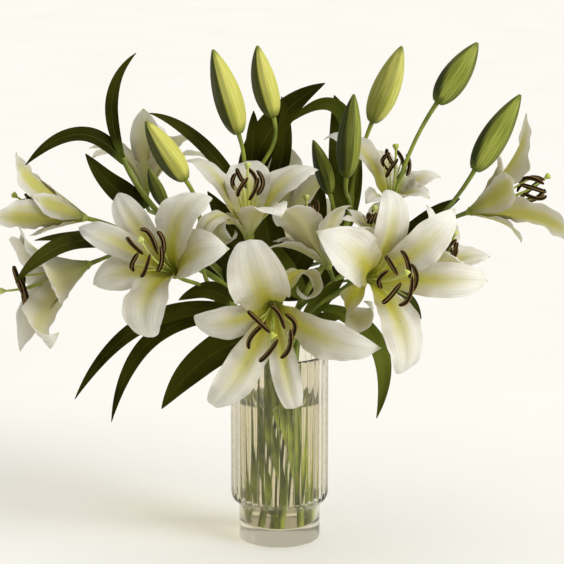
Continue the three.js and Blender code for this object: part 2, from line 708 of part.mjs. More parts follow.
addMesh('vase', vaseSolid(), { color: 0xdfe3dc, roughness: 0.05, metalness: 0 });
addMesh('water', waterSolid(), { color: 0xe3e8dd, roughness: 0.05, metalness: 0 });
STEMS.forEach((stem, index) => {
  addMesh(stem.name, stemSolid(stem, index), { color: 0x3c4a16, roughness: 0.5, metalness: 0 });
});
for (const bloom of BLOOMS) {
  addMesh(`bloom_${bloom.name}`, bloomSolid(bloom), { color: 0xf0ede2, roughness: 0.6, metalness: 0 });
  addMesh(`stamens_${bloom.name}`, stamensSolid(bloom), { color: 0x4a3018, roughness: 0.8, metalness: 0 });
}
for (const bud of BUDS) {
  addMesh(bud.name, budSolid(bud), { color: 0x9da545, roughness: 0.5, metalness: 0 });
}

export default group;
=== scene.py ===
# Looks for white lilies in a ribbed glass vase: petals, stamens, leaves, buds, stems, glass and water.
# Shapes are worked out in millimetres in the CAD frame, and become metres when a mesh is made.
import math
import random

import bpy
import numpy as np
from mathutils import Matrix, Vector


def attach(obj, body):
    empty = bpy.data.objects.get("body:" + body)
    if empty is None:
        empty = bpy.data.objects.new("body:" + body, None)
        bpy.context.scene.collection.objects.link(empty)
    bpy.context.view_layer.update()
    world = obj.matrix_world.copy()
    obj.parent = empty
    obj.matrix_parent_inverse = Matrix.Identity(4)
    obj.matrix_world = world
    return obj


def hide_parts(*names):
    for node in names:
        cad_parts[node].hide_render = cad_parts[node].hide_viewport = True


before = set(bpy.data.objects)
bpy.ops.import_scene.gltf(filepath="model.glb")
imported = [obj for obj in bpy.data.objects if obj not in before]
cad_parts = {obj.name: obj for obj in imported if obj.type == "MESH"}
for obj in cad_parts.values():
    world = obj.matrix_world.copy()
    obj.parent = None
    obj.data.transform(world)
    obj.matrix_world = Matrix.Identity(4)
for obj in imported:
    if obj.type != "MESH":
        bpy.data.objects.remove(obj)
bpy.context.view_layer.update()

METRES = 0.001
MAP = "Tissue"

# Everything random is drawn from this one seeded source, and a random phase from one full turn
CHANCE = random.Random(11)
FULL_TURN = 6.28

# Vase and water
VASE_HEIGHT = 194
RIBS = 40
RIB_RADIUS = 49.4
GROOVE_RADIUS = 48
RIB_BOTTOM = 42
RIB_RISE = 6
RIB_END = 1.5
BODY_BORE = 44.6
WALL_LEVELS = (60, 90, 120, 150, 180)
FOOT_RADIUS = 41
FOOT_BORE = 36.5
FLOOR = 17
WATER_LEVEL = 146
GAP = 0.35

# Stems cross the vase as the straight lines of one spiral
STEM_RADIUS = 3.5
STEM_TAPER = 0.64
STRAIGHT_STEPS = 23
FREE_STEPS = 40
STALK_RADIUS = 2
NECK_RADIUS = 2.5
WAIST_RADIUS = 14
WAIST_LEVEL = 150
STEM_LEAN = 0.215
FIRST_STEM_ANGLE = -132
CUT_END_LEVEL = FLOOR + GAP + 0.75

# Leaves: their least half width, their fold and wave as shares of their half width, and their thickness at
# the edge, over the blade and over the midrib. A midrib's width is a share of half the leaf's or tepal's.
LEAF_ROWS = 34
LEAF_COLUMNS = 11
LEAF_FACE = (0, -0.8, 0.6)
LEAST_LEAF = 0.4
LEAF_FOLD = 0.3
LEAF_WAVE = 0.1
LEAF_EDGE = 0.3
LEAF_BLADE = 0.6
LEAF_MIDRIB = 0.7
MIDRIB_WIDTH = 0.12

# What a tepal has where its bloom doesn't say otherwise. With a small ease it opens soon, and with a large
# power it curls back near its tip only.
USUAL_TEPAL = dict(long=1, wide=1, ease=1.3, power=5, twist=0, sweep=0)

# Blooms. A tepal leans away from the bloom's axis at its base by some degrees, and starts above the base.
BLOOM_LENGTH = 108
INNER_HALF_WIDTH = 23
OUTER_HALF_WIDTH = 16.5
INNER_LEAN = 20
OUTER_LEAN = 25
INNER_START = 1.8
OUTER_START = 1.2
TEPAL_BASE = 2
TEPAL_ROWS = 44
TEPAL_COLUMNS = 18
STEPS_A_ROW = 4
RECEPTACLE_LENGTH = 5
RECEPTACLE_WIDENING = 2.7

# A tepal's relief and thickness: ruffled edges, a groove over the midrib, ridges beside it, and folds
LEAST_TEPAL = 0.5
INNER_RUFFLE = 2.3
OUTER_RUFFLE = 1.2
GROOVE_DEPTH = 1.1
RIDGE_HEIGHT = 0.45
FOLD_HEIGHT = 0.75
TEPAL_EDGE = 0.25
TEPAL_BLADE = 0.85

# Stamens and pistil. The filaments spread as the bloom opens, and fully at the wide angle.
STAMEN_ROOT = RECEPTACLE_LENGTH + GAP
FILAMENT_ROOT = STAMEN_ROOT + 3
FILAMENT_LENGTH = 64
FILAMENT_SPREAD = 19
WIDE_OPEN = 74
ANTHER_LENGTH = 26
ANTHER_RADIUS = 2.4
ANTHER_LIE = (0, 0, 0.9)
PISTIL_LENGTH = 80
OVARY_LENGTH = 5
OVARY_RADII = (1.6, 2.1, 2.6, 3.0, 3.2)

# The stigma: how far each of its rings lies past the end of the style, and its radius
STIGMA = ((-1.5, 1.3), (0, 2.0), (1.5, 2.9), (3, 3.1), (4, 2.4), (4.6, 1.0))

# Looks: the share of light that goes through petals and leaves, how strongly glass and water bend it, the
# direction of a bud's side with painted shade in deep green, away from the key lamp, and the waves of a
# bud's ribs and of an anther's folds, in radians over half way around it
PETAL_GLOW = 0.36
LEAF_GLOW = 0.1
REFRACTION = 1.33
PAINTED_SHADE_SIDE = (-0.92, -0.1, -0.3)
RIB_WAVES = 4.712
SAC_WAVES = 6.283

# Studio, in metres: a round floor just under the vase, and pale light all round. That light is brighter by
# a set amount where it is seen through glass.
STUDIO_RADIUS = 30
STUDIO_FLOOR = -0.0005
STUDIO_COLOUR = (1.0, 0.965, 0.88, 1)
STUDIO_STRENGTH = 0.32
STUDIO_THROUGH_GLASS = 0.2

# Lamps: each one's strength, its width in degrees, and the direction that it stands in
LAMPS = [
    dict(name="key", strength=2.6, width=36, direction=(0.82, -0.45, 0.42)),
    dict(name="overhead", strength=1.2, width=100, direction=(0.0, 0.1, 1.0)),
]

# Camera: a long lens, in pixels of the frame, its distance and aim in metres, and degrees downwards
FRAME_PIXELS = 564
FOCAL_PIXELS = 2200
SENSOR_WIDTH = 36
CAMERA_DISTANCE = 2.2
CAMERA_AIM = (0.0025, 0, 0.2657)
LOOKING_DOWN = 12
FARTHEST_SEEN = 100

# Each stem: its head and the way it leaves there, and its leaves: how far up the stem each one starts,
# the point that it bends towards, its tip, half its width, and the way that it faces.
STEMS = [
    dict(name="front", head=(-6, -40, 250), toward=(0, -1, 0.3), leaves=[
        dict(on=0.3, bend=(-70, -46, 222), tip=(-117, -42, 146), half=16),
    ]),
    dict(name="right", head=(70, -26, 268), toward=(0.8, -0.4, 0.6), leaves=[
        dict(on=0.6, bend=(126, -22, 226), tip=(97, -30, 133), half=9),
        dict(on=0.4, bend=(40, -20, 250), tip=(64, -14, 272), half=8),
        dict(on=0.2, bend=(30, -14, 230), tip=(62, -30, 236), half=9),
    ]),
    dict(name="far_right", head=(130, 42, 298), toward=(1, 0, 0.4), leaves=[
        dict(on=0.9, bend=(150, 56, 322), tip=(184, 60, 340), half=8),
    ]),
    dict(name="back_right", head=(92, 70, 296), toward=(0.5, 0.3, 1), leaves=[
        dict(on=0.6, bend=(120, 90, 260), tip=(150, 120, 200), half=12, face=(0.5, 0.6, 0.6)),
    ]),
    dict(name="middle", head=(74, 66, 346), toward=(0, 0.2, 1), leaves=[
        dict(on=0.75, bend=(74, 94, 384), tip=(56, 90, 442), half=16),
        dict(on=0.95, bend=(84, 84, 480), tip=(6, 80, 412), half=8),
        dict(on=0.3, bend=(2, 26, 270), tip=(-6, 22, 304), half=11),
    ]),
    dict(name="back", head=(6, 80, 292), toward=(0, 1, 0.6), leaves=[
        dict(on=0.6, bend=(-40, 90, 260), tip=(-80, 110, 190), half=12, face=(0, 0.8, 0.6)),
        dict(on=0.6, bend=(50, 90, 276), tip=(104, 128, 262), half=11, face=(0.3, 0.6, 0.8)),
        dict(on=0.5, bend=(-14, 62, 300), tip=(-24, 84, 368), half=16),
        dict(on=0.55, bend=(34, 58, 290), tip=(44, 84, 350), half=15),
        dict(on=0.5, bend=(-56, 66, 264), tip=(-118, 62, 288), half=15),
        dict(on=0.5, bend=(-46, 72, 296), tip=(-74, 80, 344), half=13),
        dict(on=0.4, bend=(30, 56, 252), tip=(70, 62, 268), half=13),
    ]),
    dict(name="top", head=(-34, 44, 352), toward=(-0.1, 0, 1), leaves=[
        dict(on=0.95, bend=(-26, 56, 420), tip=(46, 60, 458), half=15),
        dict(on=0.85, bend=(-26, 50, 396), tip=(-26, 44, 432), half=8),
        dict(on=0.9, bend=(-76, 40, 416), tip=(-130, 34, 431), half=7),
        dict(on=0.75, bend=(16, 60, 380), tip=(2, 48, 446), half=9),
    ]),
    dict(name="back_left", head=(-158, 46, 384), toward=(-0.4, 0, 1), leaves=[
        dict(on=1, bend=(-184, 36, 452), tip=(-142, 26, 492), half=6),
        dict(on=0.97, bend=(-196, 36, 440), tip=(-254, 24, 380), half=8),
        dict(on=0.8, bend=(-160, 40, 336), tip=(-196, 48, 388), half=12),
    ]),
    dict(name="far_left", head=(-140, 14, 296), toward=(-1, 0, 0.2), leaves=[
        dict(on=0.95, bend=(-205, -52, 342), tip=(-253, -90, 284), half=10),
        dict(on=0.85, bend=(-176, -12, 322), tip=(-238, -52, 318), half=7),
        dict(on=0.4, bend=(-40, 8, 274), tip=(-62, 10, 312), half=11),
    ]),
    dict(name="left", head=(-74, -18, 264), toward=(-0.8, -0.1, 0.6), leaves=[
        dict(on=0.6, bend=(-146, -8, 256), tip=(-205, -20, 150), half=8.5),
        dict(on=0.5, bend=(-146, 0, 244), tip=(-170, -4, 122), half=8.5),
        dict(on=0.7, bend=(-64, -30, 274), tip=(-100, -22, 252), half=9),
    ]),
]

# Each bloom: its stem and where its stalk leaves it, its base, the way that it faces (azimuth, elevation),
# the length of its tepals, and how far they open and curl back. Its anthers may lie in a direction of their
# own. Each tepal has its turn about the bloom. Its length and width are shares of the usual ones. It may
# open, curl, twist and sweep sideways in a way of its own. Inner and outer tepals come in turn.
BLOOMS = [
    dict(name="front", stem="front", start=1, at=(-6, -58, 260), face=(-90, -12),
         long=124, open=74, curl=40, tepals=[
             dict(turn=106, long=1.13, curl=150, wide=1.05),
             dict(turn=62, long=0.9, wide=0.7, ease=0.4, curl=350, power=1.7, twist=-90),
             dict(turn=-8, long=1.14, wide=0.8, sweep=-0.06), dict(turn=-76, long=1.12, wide=0.76, curl=110),
             dict(turn=-124, long=1.21, wide=0.7, curl=90, sweep=-0.04),
             dict(turn=183, long=0.86, wide=0.95, curl=95)]),
    dict(name="left", stem="left", start=1, at=(-100, -46, 282), face=(-117, 30),
         long=110, open=74, curl=50, tepals=[
             dict(turn=70, long=1.1, curl=130, sweep=-0.1), dict(turn=135, long=1.05),
             dict(turn=167, long=1.12, wide=0.6), dict(turn=204, long=0.86, wide=1.2),
             dict(turn=281, long=1.13, curl=150), dict(turn=18, long=0.85, wide=1.5)]),
    dict(name="right", stem="right", start=1, at=(84, -54, 281), face=(-66, 10),
         long=118, open=72, curl=45, tepals=[
             dict(turn=146, long=1.06), dict(turn=84, long=1.04, curl=110),
             dict(turn=40, long=1.08, wide=0.78), dict(turn=-6, long=1.22, curl=85),
             dict(turn=-82, long=1.15, wide=0.8, curl=105, sweep=-0.07),
             dict(turn=-142, long=0.82, ease=0.4, curl=330, power=1.5, twist=90)]),
    dict(name="top", stem="top", start=0.5, at=(-31, -20, 311), face=(-90, 76),
         long=104, open=60, curl=45, tepals=[
             dict(turn=90, long=0.95), dict(turn=135, long=1.18, wide=0.8, curl=60),
             dict(turn=150, long=0.82, wide=0.6, curl=310, power=1.5),
             dict(turn=222, wide=0.8, curl=230, power=3),
             dict(turn=300, long=0.9), dict(turn=36, long=1.08, wide=1.3)]),
    dict(name="far_left", stem="far_left", start=1, at=(-187, -4, 286), face=(-162, -18),
         long=124, open=60, curl=40, tepals=[
             dict(turn=100, long=0.7, wide=1.2, curl=20),
             dict(turn=150, long=0.8, wide=1.6, open=50, curl=20),
             dict(turn=205, long=0.8), dict(turn=248, long=0.98, wide=1.5, open=2, curl=70),
             dict(turn=-56, long=1.02, wide=0.9, open=26, curl=190, twist=35),
             dict(turn=10, long=0.72, wide=1.3, open=50)]),
    dict(name="opening", stem="far_left", start=0.8, at=(-194, 44, 322), face=(175, 12),
         long=104, open=32, curl=10, tepals=[
             dict(turn=70, long=0.98, wide=0.8, open=12, curl=60), dict(turn=125, long=0.75, open=0),
             dict(turn=196, long=0.85, wide=0.8, open=0), dict(turn=262, long=0.6, open=4),
             dict(turn=-26, long=0.95, wide=0.85, open=-8), dict(turn=30, long=0.6, wide=0.8, open=-6)]),
    dict(name="back_left", stem="back_left", start=0.7, at=(-137, 86, 340), face=(90, 68),
         long=98, open=58, curl=50, tepals=[
             dict(turn=5, long=0.85), dict(turn=88, long=0.98, wide=1.1, open=8),
             dict(turn=150, long=0.95), dict(turn=210, long=0.95),
             dict(turn=265, long=1.15, wide=0.8, open=14, curl=60), dict(turn=325, wide=1.5)]),
    dict(name="back_right", stem="back_right", start=1, at=(112, 52, 328), face=(-75, 70),
         long=94, open=62, curl=60, tepals=[
             dict(turn=137, long=1.24, wide=0.85, curl=75), dict(turn=88, long=0.85, wide=0.9),
             dict(turn=48, long=0.6, wide=0.8), dict(turn=8, long=0.75, wide=0.9),
             dict(turn=-42, long=0.6, wide=0.8), dict(turn=215, long=0.6)]),
    dict(name="far_right", stem="far_right", start=1, at=(188, 32, 330), face=(8, 19),
         long=120, open=44, curl=30, lie=(0.9, 0, 0.1), tepals=[
             dict(turn=78, wide=1.2, open=34, curl=25), dict(turn=150, long=0.62),
             dict(turn=222, long=1.04, wide=0.9), dict(turn=282, long=0.6),
             dict(turn=-30, long=0.7), dict(turn=25, long=0.8)]),
    dict(name="low_right", stem="far_right", start=0.6, at=(144, 0, 272), face=(-20, 48),
         long=72, open=42, curl=30, tepals=[
             dict(turn=78), dict(turn=138, long=0.7),
             dict(turn=198), dict(turn=258),
             dict(turn=318), dict(turn=18)]),
    dict(name="middle", stem="middle", start=0.2, at=(50, -10, 280), face=(150, 64),
         long=100, open=54, curl=45, tepals=[
             dict(turn=14, long=1.08, curl=30), dict(turn=70, long=0.9),
             dict(turn=130, long=0.5), dict(turn=200, long=0.6),
             dict(turn=262, long=0.75, curl=30), dict(turn=318, long=0.75)]),
    dict(name="behind", stem="middle", start=0.6, at=(95, 2, 303), face=(-120, 78),
         long=48, open=42, curl=40, turn=100),
    dict(name="back", stem="back", start=1, at=(2, 96, 302), face=(88, 30),
         long=100, open=70, curl=50, turn=90),
]

# Each bud: its stem, where its stalk leaves it, its base, its tip, and its widest radius.
BUDS = [
    dict(name="bud_1", stem="top", start=1, at=(-41, 30, 411), tip=(-66, 30, 495), radius=14),
    dict(name="bud_2", stem="top", start=0.95, at=(-6, 36, 427), tip=(-22, 38, 498), radius=12.5),
    dict(name="bud_3", stem="middle", start=1, at=(94, 66, 418), tip=(123, 62, 495), radius=14),
    dict(name="bud_4", stem="right", start=0.95, at=(153, -30, 450), tip=(191, -30, 508), radius=13.5),
    dict(name="bud_5", stem="right", start=0.85, at=(191, -25, 383), tip=(234, -25, 457), radius=13.5),
    dict(name="bud_6", stem="left", start=0.9, at=(-93, -5, 370), tip=(-131, -10, 429), radius=13),
    dict(name="bud_7", stem="middle", start=0.9, at=(67, 26, 368), tip=(74, 26, 451), radius=12),
    dict(name="bud_8", stem="back_left", start=0.55, at=(-114, 24, 338), tip=(-131, 24, 377), radius=7),
    dict(name="bud_9", stem="middle", start=0.6, at=(51, 54, 346), tip=(34, 54, 401), radius=9),
]

# The buds that are green all over, bud_7 among them with painted shade, the one with clear green lines, the
# blooms whose petals are green outside, and the stems whose upper leaves are a lighter copy: painted light
# bud_7's dark green all over is painted shade; the other buds listed are green
GREEN_AND_SHADED_BUDS = ("bud_4", "bud_5", "bud_7", "bud_8", "bud_9")
LINED_BUDS = ("bud_3",)
GREEN_BACKS = ("opening", "far_right")
LIT_LEAF_STEMS = ("right", "middle")


# Small helpers for directions and curves
def unit(v):
    return np.asarray(v, float) / np.linalg.norm(v)


def facing(azimuth, elevation):
    """The directions of a bloom: outwards, and right and up as seen from its front."""
    az, el = math.radians(azimuth), math.radians(elevation)
    out = np.array([math.cos(el) * math.cos(az), math.cos(el) * math.sin(az), math.sin(el)])
    right = unit(np.cross((0, 0, 1), out))
    return out, right, np.cross(out, right)


def radial_at(right, up, degrees):
    """The direction away from a bloom's axis, at an angle about it."""
    angle = math.radians(degrees)
    return right * math.cos(angle) + up * math.sin(angle)


def swing(a, b, angle):
    """Two directions at a right angle, both turned in their own plane."""
    return a * np.cos(angle) - b * np.sin(angle), b * np.cos(angle) + a * np.sin(angle)


def shares(count):
    """Even shares from 0 to 1."""
    return np.linspace(0, 1, count)


def turns(count):
    """Angles once around, in even steps."""
    return np.arange(count) * 2 * math.pi / count


def hill(x, width):
    """1 where x is 0, with a smooth fall over a width at each side."""
    return np.exp(-(x / width) ** 2)


def bezier(points, t):
    """Points on a curve of two to four control points, at each share in t."""
    points = [np.asarray(p, float)[None, :] for p in points]
    t = np.atleast_1d(np.asarray(t, float))[:, None]
    while len(points) > 1:
        points = [a * (1 - t) + b * t for a, b in zip(points, points[1:])]
    return points[0]


def route(begin, leaving, end, arriving):
    """Control points of a curve that leaves one point along one direction and arrives along another."""
    begin, end = np.asarray(begin, float), np.asarray(end, float)
    reach = np.linalg.norm(end - begin) * 0.4
    return [begin, begin + np.asarray(leaving) * reach, end - np.asarray(arriving) * reach, end]


def tangents(path):
    steps = np.gradient(path, axis=0)
    return steps / np.linalg.norm(steps, axis=1)[:, None]


def new_object(name, data):
    """An object in the scene."""
    made = bpy.data.objects.new(name, data)
    bpy.context.scene.collection.objects.link(made)
    return made


class Body:
    """Collects closed sheets and tubes, and makes one mesh object of them. Points on a rim have a number,
    and an edge between two points of the same rim is sharp. A slot is a material's place in the mesh."""

    def __init__(self):
        self.points, self.uv, self.faces, self.slots, self.rim = [], [], [], [], []

    def take(self, points, uv, rim):
        """Keeps the points, their places on the map and their rims, and gives the number of the first."""
        base = sum(len(p) for p in self.points)
        self.points.append(points)
        self.uv.append(uv)
        self.rim.append(rim)
        return base

    def sheet(self, centre, out, thick, slots):
        """A thin closed sheet about rows of points. slots are the materials of its front and back."""
        rows, cols = centre.shape[:2]
        v, u = np.meshgrid(shares(rows), shares(cols), indexing="ij")
        half = out * thick[..., None] / 2
        uv = np.stack([u, v], -1).reshape(-1, 2)
        edge = np.zeros((rows, cols), int)
        edge[0, :] = edge[-1, :] = edge[:, 0] = edge[:, -1] = 1
        points = np.concatenate([(centre + half).reshape(-1, 3), (centre - half).reshape(-1, 3)])
        rim = np.concatenate([edge.ravel(), edge.ravel() * 2])
        base = self.take(points, np.concatenate([uv, uv]), rim)
        under = base + rows * cols
        for i in range(rows - 1):
            for j in range(cols - 1):
                a = i * cols + j
                b = a + cols
                self.faces += [(base + a, base + b, base + b + 1, base + a + 1),
                               (under + a, under + a + 1, under + b + 1, under + b)]
                self.slots += slots
        ring = [(i, 0) for i in range(rows)] + [(rows - 1, j) for j in range(1, cols)]
        ring += [(i, cols - 1) for i in range(rows - 2, -1, -1)] + [(0, j) for j in range(cols - 2, 0, -1)]
        for (i, j), (k, m) in zip(ring, ring[1:] + ring[:1]):
            a, b = i * cols + j, k * cols + m
            self.faces.append((base + b, base + a, under + a, under + b))
            self.slots.append(slots[0])

    def blade(self, line, over, out, across, rise, thick, slots):
        """A sheet that spreads across a middle line and rises out of its face."""
        centre = line[:, None, :] + over[:, None, :] * across[..., None] + out[:, None, :] * rise[..., None]
        normal = np.cross(np.gradient(centre, axis=0), np.gradient(centre, axis=1))
        normal /= np.linalg.norm(normal, axis=2)[..., None]
        self.sheet(centre, normal, thick, slots)

    def tube(self, path, radii, sides, slot, across=None, shape=None, sharp=False):
        """A closed tube along a path. Its angles start near the direction across, shape scales its radius at
        each of them, and sharp gives it sharp ends."""
        path = np.asarray(path, float)
        along = tangents(path)
        if across is None:
            across = np.cross((0, 0, 1) if abs(along[0][2]) < 0.9 else (1, 0, 0), along[0])
        turn = turns(sides)
        shape = np.ones(sides) if shape is None else shape
        rings = []
        for point, ahead, radius in zip(path, along, radii):
            across = unit(across - ahead * np.dot(across, ahead))
            other = np.cross(ahead, across)
            rings.append(point + radius * (np.outer(np.cos(turn) * shape, across)
                                           + np.outer(np.sin(turn) * shape, other)))
        count = len(path)
        u = np.abs(2 * np.arange(sides) / sides - 1)
        uv = np.stack(np.meshgrid(u, shares(count)), -1).reshape(-1, 2)
        rim = np.zeros(count * sides, int)
        if sharp:
            rim[:sides] = 1
            rim[-sides:] = 2
        base = self.take(np.concatenate(rings), uv, rim)
        for i in range(count - 1):
            for k in range(sides):
                a, b = base + i * sides + k, base + i * sides + (k + 1) % sides
                self.faces.append((a, b, b + sides, a + sides))
        last = base + (count - 1) * sides
        self.faces.append(tuple(base + k for k in reversed(range(sides))))
        self.faces.append(tuple(last + k for k in range(sides)))
        self.slots += [slot] * ((count - 1) * sides + 2)

    def turned(self, profile, radius_at, segments, slot):
        """A lathe about Z. The profile starts and ends on the axis, and radius_at may shape each ring."""
        inner = profile[1:-1]
        angles = turns(segments)
        rings = []
        for r, z in inner:
            radius = radius_at(r, z, angles)
            level = np.full(segments, float(z))
            rings.append(np.stack([radius * np.cos(angles), radius * np.sin(angles), level], -1))
        ends = np.array([[0, 0, profile[0][1]], [0, 0, profile[-1][1]]], float)
        points = np.concatenate(rings + [ends])
        map_radius, map_height = 50, 200
        uv = np.stack([np.hypot(points[:, 0], points[:, 1]) / map_radius, points[:, 2] / map_height], -1)
        base = self.take(points, uv, np.zeros(len(points), int))
        for i in range(len(inner) - 1):
            for k in range(segments):
                a, b = base + i * segments + k, base + i * segments + (k + 1) % segments
                self.faces.append((a, b, b + segments, a + segments))
        first, last = base + len(points) - 2, base + len(points) - 1
        top = base + (len(inner) - 1) * segments
        for k in range(segments):
            following = (k + 1) % segments
            self.faces += [(first, base + following, base + k), (last, top + k, top + following)]
        self.slots += [slot] * ((len(inner) - 1) * segments + 2 * segments)

    def make(self, name, materials):
        """One mesh object, in metres, of all that was collected."""
        mesh = bpy.data.meshes.new(name)
        points = np.concatenate(self.points) * METRES
        mesh.from_pydata(points.tolist(), [], self.faces)
        for material in materials:
            mesh.materials.append(material)
        mesh.polygons.foreach_set("material_index", self.slots)
        mesh.polygons.foreach_set("use_smooth", [True] * len(self.faces))
        corners = np.zeros(len(mesh.loops), int)
        mesh.loops.foreach_get("vertex_index", corners)
        mesh.uv_layers.new(name=MAP).uv.foreach_set("vector", np.concatenate(self.uv)[corners].ravel())
        pairs = np.zeros(len(mesh.edges) * 2, int)
        mesh.edges.foreach_get("vertices", pairs)
        rim = np.concatenate(self.rim)[pairs.reshape(-1, 2)]
        mesh.edges.foreach_set("use_edge_sharp", (rim[:, 0] == rim[:, 1]) & (rim[:, 0] > 0))
        mesh.update()
        return new_object(name, mesh)


# Materials
def shade(code):
    """The linear colour of a six-digit web colour."""
    parts = [int(code[i:i + 2], 16) / 255 for i in (0, 2, 4)]
    return tuple(p / 12.92 if p <= 0.04045 else ((p + 0.055) / 1.055) ** 2.4 for p in parts) + (1.0,)


class Nodes:
    """Adds and joins the shader nodes of one material or world."""

    def __init__(self, name, home=bpy.data.materials):
        self.owner = home.new(name)
        self.owner.use_nodes = True
        self.tree = self.owner.node_tree
        self.tree.nodes.clear()

    def add(self, kind, inputs=None, **settings):
        """One node. Each of its inputs is given a value, or another node's output to join it to."""
        node = self.tree.nodes.new("ShaderNode" + kind)
        for key, value in settings.items():
            setattr(node, key, value)
        for key, value in (inputs or {}).items():
            if isinstance(value, bpy.types.NodeSocket):
                self.tree.links.new(value, node.inputs[key])
            else:
                node.inputs[key].default_value = value
        return node

    def math(self, operation, a, b=0.0, c=0.0):
        return self.add("Math", {0: a, 1: b, 2: c}, operation=operation).outputs[0]

    def times(self, a, b):
        return self.math("MULTIPLY", a, b)

    def scaled(self, value, by, plus):
        return self.math("MULTIPLY_ADD", value, by, plus)

    def fade(self, value, start, end):
        """0 up to start and 1 from end on, or the other way round where end is lower."""
        low, high = min(start, end), max(start, end)
        ends = (0.0, 1.0) if start < end else (1.0, 0.0)
        node = self.add("MapRange", {0: value, 1: low, 2: high, 3: ends[0], 4: ends[1]},
                        interpolation_type="SMOOTHSTEP")
        return node.outputs[0]

    def mix(self, factor, a, b):
        node = self.add("Mix", {0: factor, 6: a, 7: b}, data_type="RGBA")
        return node.outputs[2]

    def tint(self, colour, where, strength, code):
        """The colour with another over it, as strong as strength says in the places that where gives."""
        return self.mix(self.times(where, strength), colour, shade(code))

    def noise(self, vector, scale, detail=2.0):
        return self.add("TexNoise", {"Vector": vector, "Scale": scale, "Detail": detail}).outputs[0]

    def tissue(self):
        """The map of a piece, its share across or around, its share along, and how far a point lies from
        the midline, from 0 to 1."""
        uv = self.add("UVMap", uv_map=MAP).outputs[0]
        parts = self.add("SeparateXYZ", {0: uv}).outputs
        across = self.math("ABSOLUTE", self.scaled(parts[0], 2.0, -1.0))
        return uv, parts[0], parts[1], across

    def stretched(self, uv, x, y):
        return self.add("Mapping", {"Vector": uv, "Scale": (x, y, 1.0)}).outputs[0]

    def place(self):
        return self.add("TexCoord").outputs["Object"]

    def bump(self, height, strength, distance):
        inputs = {"Height": height, "Strength": strength, "Distance": distance}
        return self.add("Bump", inputs).outputs[0]

    def skin(self, colour, rough, shine, normal=None):
        """An opaque surface, with the plain normal where none is given."""
        inputs = {"Base Color": colour, "Roughness": rough, "Specular IOR Level": shine}
        if normal is not None:
            inputs["Normal"] = normal
        return self.add("BsdfPrincipled", inputs).outputs[0]

    def thin(self, skin, glow, normal, share):
        """A skin that lets a share of the light through as a glow."""
        through = self.add("BsdfTranslucent", {"Color": glow, "Normal": normal})
        return self.add("MixShader", {0: share, 1: skin, 2: through.outputs[0]}).outputs[0]

    def finish(self, shader, output="OutputMaterial"):
        self.add(output, {0: shader})
        return self.owner


def front_marks(n, colour, uv, veins, along, across):
    """A petal's yellow-green midrib and throat, and a few brown spots."""
    edge = n.scaled(n.fade(veins, 0.4, 0.6), 0.14, across)
    streak = n.times(n.fade(edge, 0.5, 0.05), n.fade(along, 0.86, 0.4))
    colour = n.tint(colour, streak, 0.9, "d2cd48")
    throat = n.fade(n.scaled(across, 0.12, along), 0.54, 0.18)
    colour = n.tint(colour, throat, 0.97, "dad43a")
    colour = n.tint(colour, n.fade(along, 0.2, 0.06), 0.5, "aab03a")
    spots = n.add("TexVoronoi", {"Vector": n.stretched(uv, 15.0, 34.0), "Scale": 1.0})
    chance = n.add("SeparateColor", {0: spots.outputs["Color"]}).outputs[0]
    dots = n.times(n.fade(spots.outputs["Distance"], 0.26, 0.14), n.fade(chance, 0.66, 0.68))
    zone = n.times(n.fade(along, 0.66, 0.4), n.fade(along, 0.12, 0.2))
    zone = n.times(zone, n.fade(across, 0.95, 0.7))
    return n.tint(colour, n.times(dots, zone), 0.75, "966a3c")


def back_marks(n, colour, veins, along, across, green):
    """A green band along the middle of a petal's back, as strong as green says, and its greener base."""
    edge = n.scaled(n.fade(veins, 0.4, 0.6), 0.22, across)
    band = n.times(n.fade(edge, 0.78, 0.2), n.fade(along, 1.0, 0.7))
    colour = n.tint(colour, band, green, "d0cc54")
    return n.tint(colour, n.fade(along, 0.36, 0.04), 0.8, "929a3c")


def petal_material(name, green=0.0):
    """White tissue with fine veins, and painted olive-grey shade towards its base. With green it is a
    petal's back, and without it the front.
    """
    n = Nodes(name)
    uv, _, along, across = n.tissue()
    place = n.place()
    veins = n.noise(n.stretched(uv, 46.0, 2.2), 1.0, 3.0)
    cloud = n.noise(place, 26.0)
    colour = n.mix(n.fade(cloud, 0.35, 0.7), shade("fbfaf7"), shade("f5f2ea"))
    colour = n.tint(colour, n.fade(veins, 0.42, 0.72), 0.45, "cbc5ad")
    # Painted shade: patchy olive-grey darkening towards the petal's base, where the bloom's shade falls
    inner = n.times(n.fade(along, 0.9, 0.3), n.fade(cloud, 0.1, 0.55))
    colour = n.tint(colour, inner, 0.72, "c0b893")
    if green:
        colour = back_marks(n, colour, veins, along, across, green)
    else:
        colour = front_marks(n, colour, uv, veins, along, across)
    colour = n.tint(colour, n.fade(along, 0.93, 1.0), 0.6, "b0b35c")
    height = n.scaled(n.noise(place, 900.0), 0.35, veins)
    normal = n.bump(height, 0.45, 0.0006)
    skin = n.skin(colour, n.scaled(cloud, 0.2, 0.4), 0.3, normal)
    return n.finish(n.thin(skin, n.mix(0.5, colour, shade("dedbc2")), normal, PETAL_GLOW))


def leaf_material(name, dark, light):
    """Leaf with parallel veins and a pale midrib."""
    n = Nodes(name)
    uv, _, along, across = n.tissue()
    veins = n.noise(n.stretched(uv, 34.0, 1.2), 1.0)
    patch = n.noise(n.place(), 14.0)
    colour = n.mix(n.fade(patch, 0.35, 0.72), shade(dark), shade(light))
    colour = n.tint(colour, n.fade(veins, 0.5, 0.75), 0.25, "4a4d12")
    colour = n.tint(colour, n.fade(across, 0.09, 0.02), 0.22, "66702a")
    colour = n.tint(colour, n.fade(along, 0.18, 0.0), 0.55, "66762a")
    normal = n.bump(veins, 0.5, 0.0008)
    skin = n.skin(colour, n.scaled(veins, 0.2, 0.42), 0.03, normal)
    return n.finish(n.thin(skin, n.mix(0.5, colour, shade("7c8418")), normal, LEAF_GLOW))


